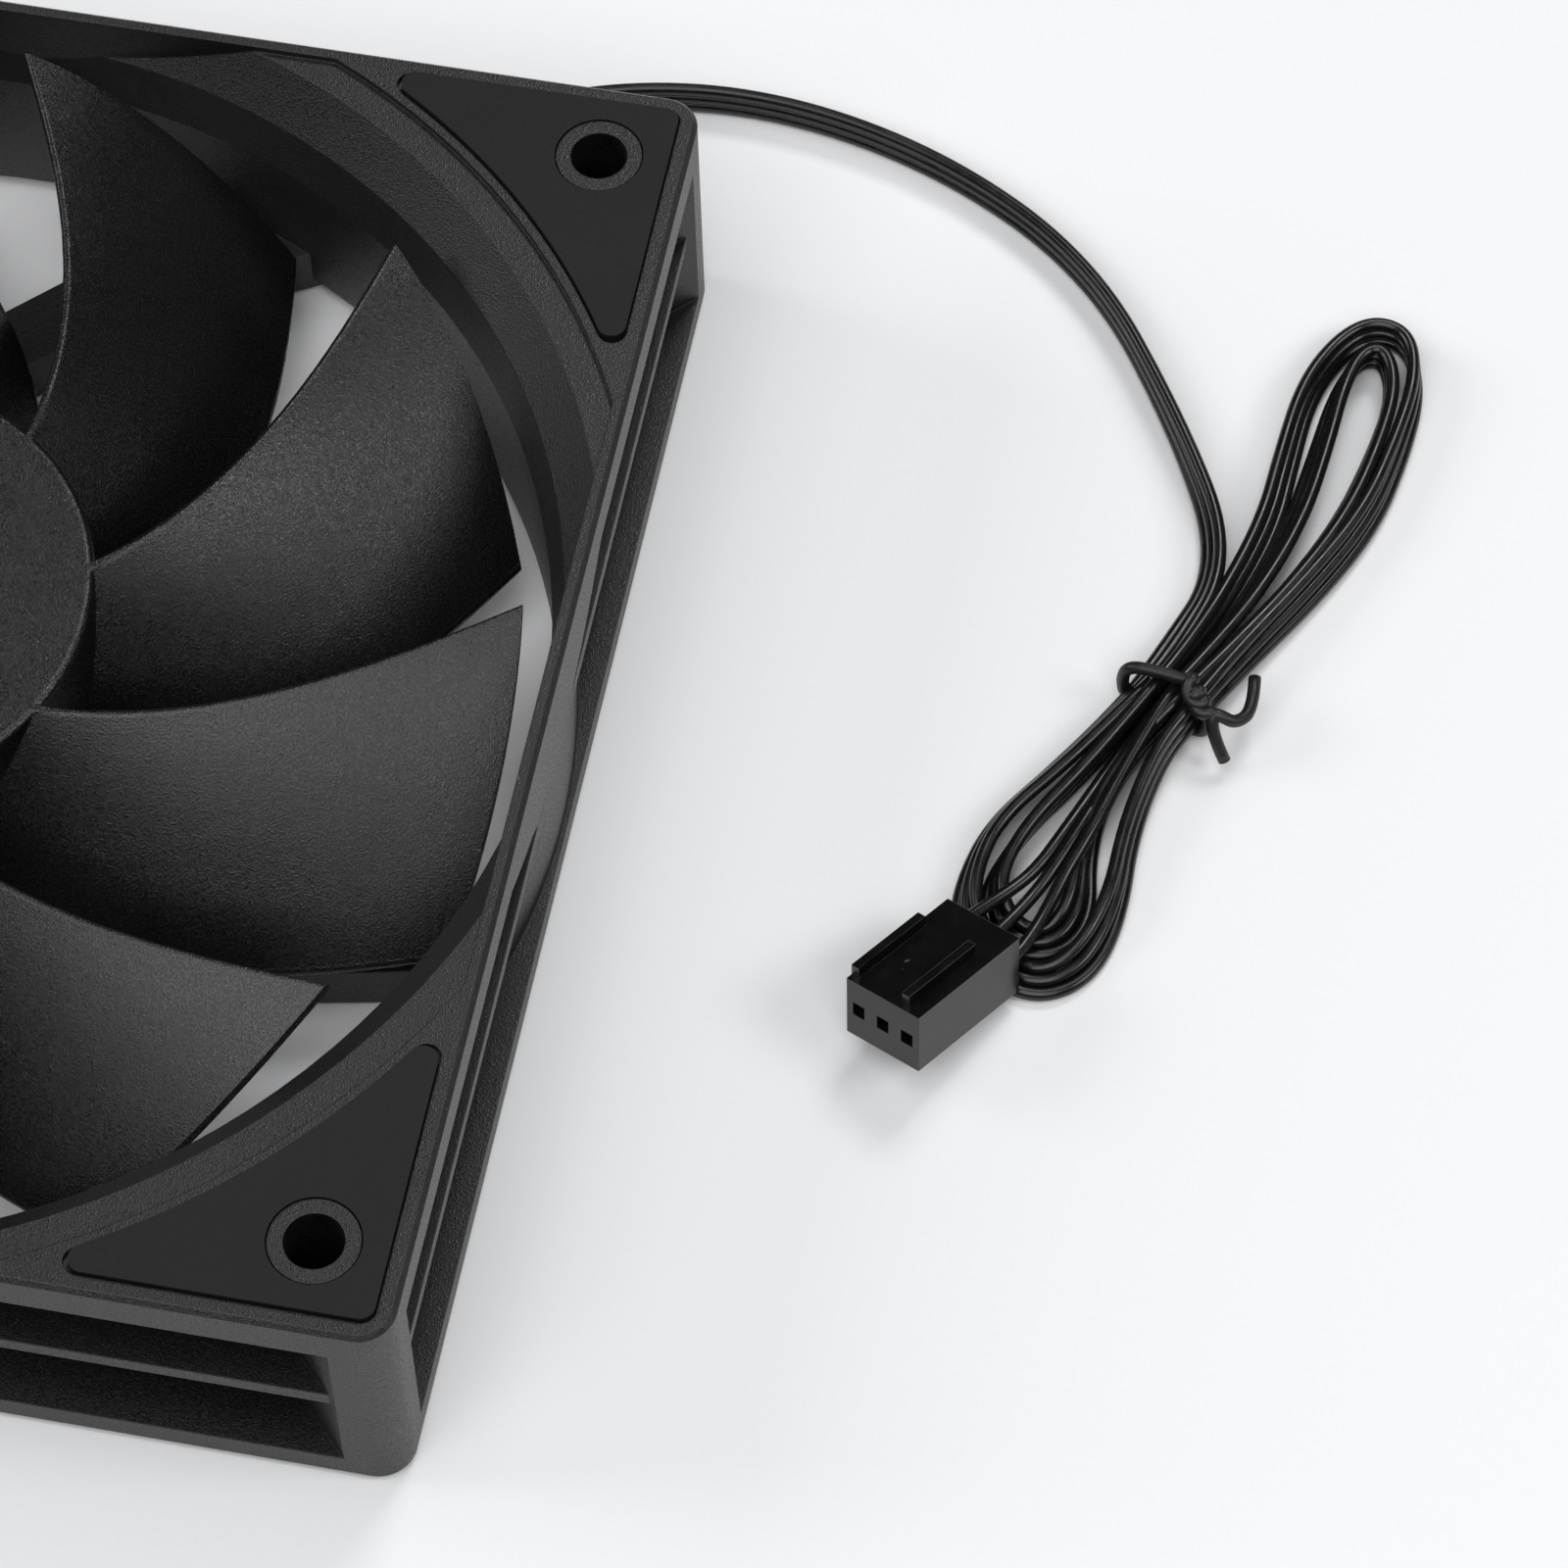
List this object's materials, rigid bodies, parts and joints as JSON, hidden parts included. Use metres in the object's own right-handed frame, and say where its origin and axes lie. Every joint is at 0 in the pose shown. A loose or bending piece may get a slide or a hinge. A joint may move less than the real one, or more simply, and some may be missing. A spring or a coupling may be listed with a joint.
{
  "type": "case fan",
  "caption": "Square axial case fan with rubber corner pads, a swept-blade impeller on an outer-rotor motor, and a tied flat cable that ends in a socket.",
  "frame": {"origin": "centre of the outlet face, at the level of the rubber pads the fan lies on", "axes": "+Z along the rotor axis towards the inlet, X and Y square to the frame's sides, the cable leaves the +Y side"},
  "size_m": [0.1847, 0.1394, 0.025],
  "materials": {
    "frame_plastic": "fine spark-eroded grain, black",
    "impeller_plastic": "fine spark-eroded grain, black",
    "pad_rubber": "smooth matte, black",
    "brass": "turned",
    "bronze": "sintered, oil filled",
    "dark_rubber": "matte",
    "white_nylon": "moulded, off-white",
    "lamination_steel": "stamped",
    "board_laminate": "green solder mask",
    "chip_resin": "moulded",
    "label_film": "blank satin film",
    "cable_jacket": "soft vinyl, semi-gloss, black",
    "tie_sleeve": "vinyl sleeve over wire, black",
    "connector_nylon": "moulded, glossy black",
    "plated_steel": "zinc plated, drawn",
    "ferrite": "bonded ferrite",
    "hardened_steel": "ground",
    "spring_steel": "blued",
    "copper_wire": "enamelled copper",
    "tin_plate": "tin plated"
  },
  "bodies": {
    "housing": {"frame": "frame_plastic", "inlet_pad_1": "pad_rubber", "inlet_pad_2": "pad_rubber", "inlet_pad_3": "pad_rubber", "inlet_pad_4": "pad_rubber", "outlet_pad_1": "pad_rubber", "outlet_pad_2": "pad_rubber", "outlet_pad_3": "pad_rubber", "outlet_pad_4": "pad_rubber", "bearing_tube": "brass", "bearing_sleeve": "bronze", "oil_seal": "dark_rubber", "thrust_pad": "white_nylon", "stator_core": "lamination_steel", "upper_insulator": "white_nylon", "lower_insulator": "white_nylon", "winding_1": "copper_wire", "winding_2": "copper_wire", "winding_3": "copper_wire", "winding_4": "copper_wire", "circuit_board": "board_laminate", "driver_chip": "chip_resin", "hall_sensor": "chip_resin", "capacitor": "chip_resin", "terminal_pins": "brass", "back_label": "label_film", "motor_lead": "cable_jacket", "cable_lead": "cable_jacket", "cable_hank": "cable_jacket", "cable_tail": "cable_jacket", "twist_tie": "tie_sleeve", "connector_housing": "connector_nylon", "terminal_1": "tin_plate", "terminal_2": "tin_plate", "terminal_3": "tin_plate"},
    "rotor": {"impeller": "impeller_plastic", "rotor_yoke": "plated_steel", "rotor_magnet": "ferrite", "shaft": "hardened_steel", "retaining_clip": "spring_steel", "slinger_washer": "white_nylon"}
  },
  "joints": [
    {"name": "rotor_spin", "type": "hinge", "parent": "housing", "child": "rotor", "pos_m": [0, 0, 0.012], "axis": [0, 0, 1], "continuous": true}
  ]
}
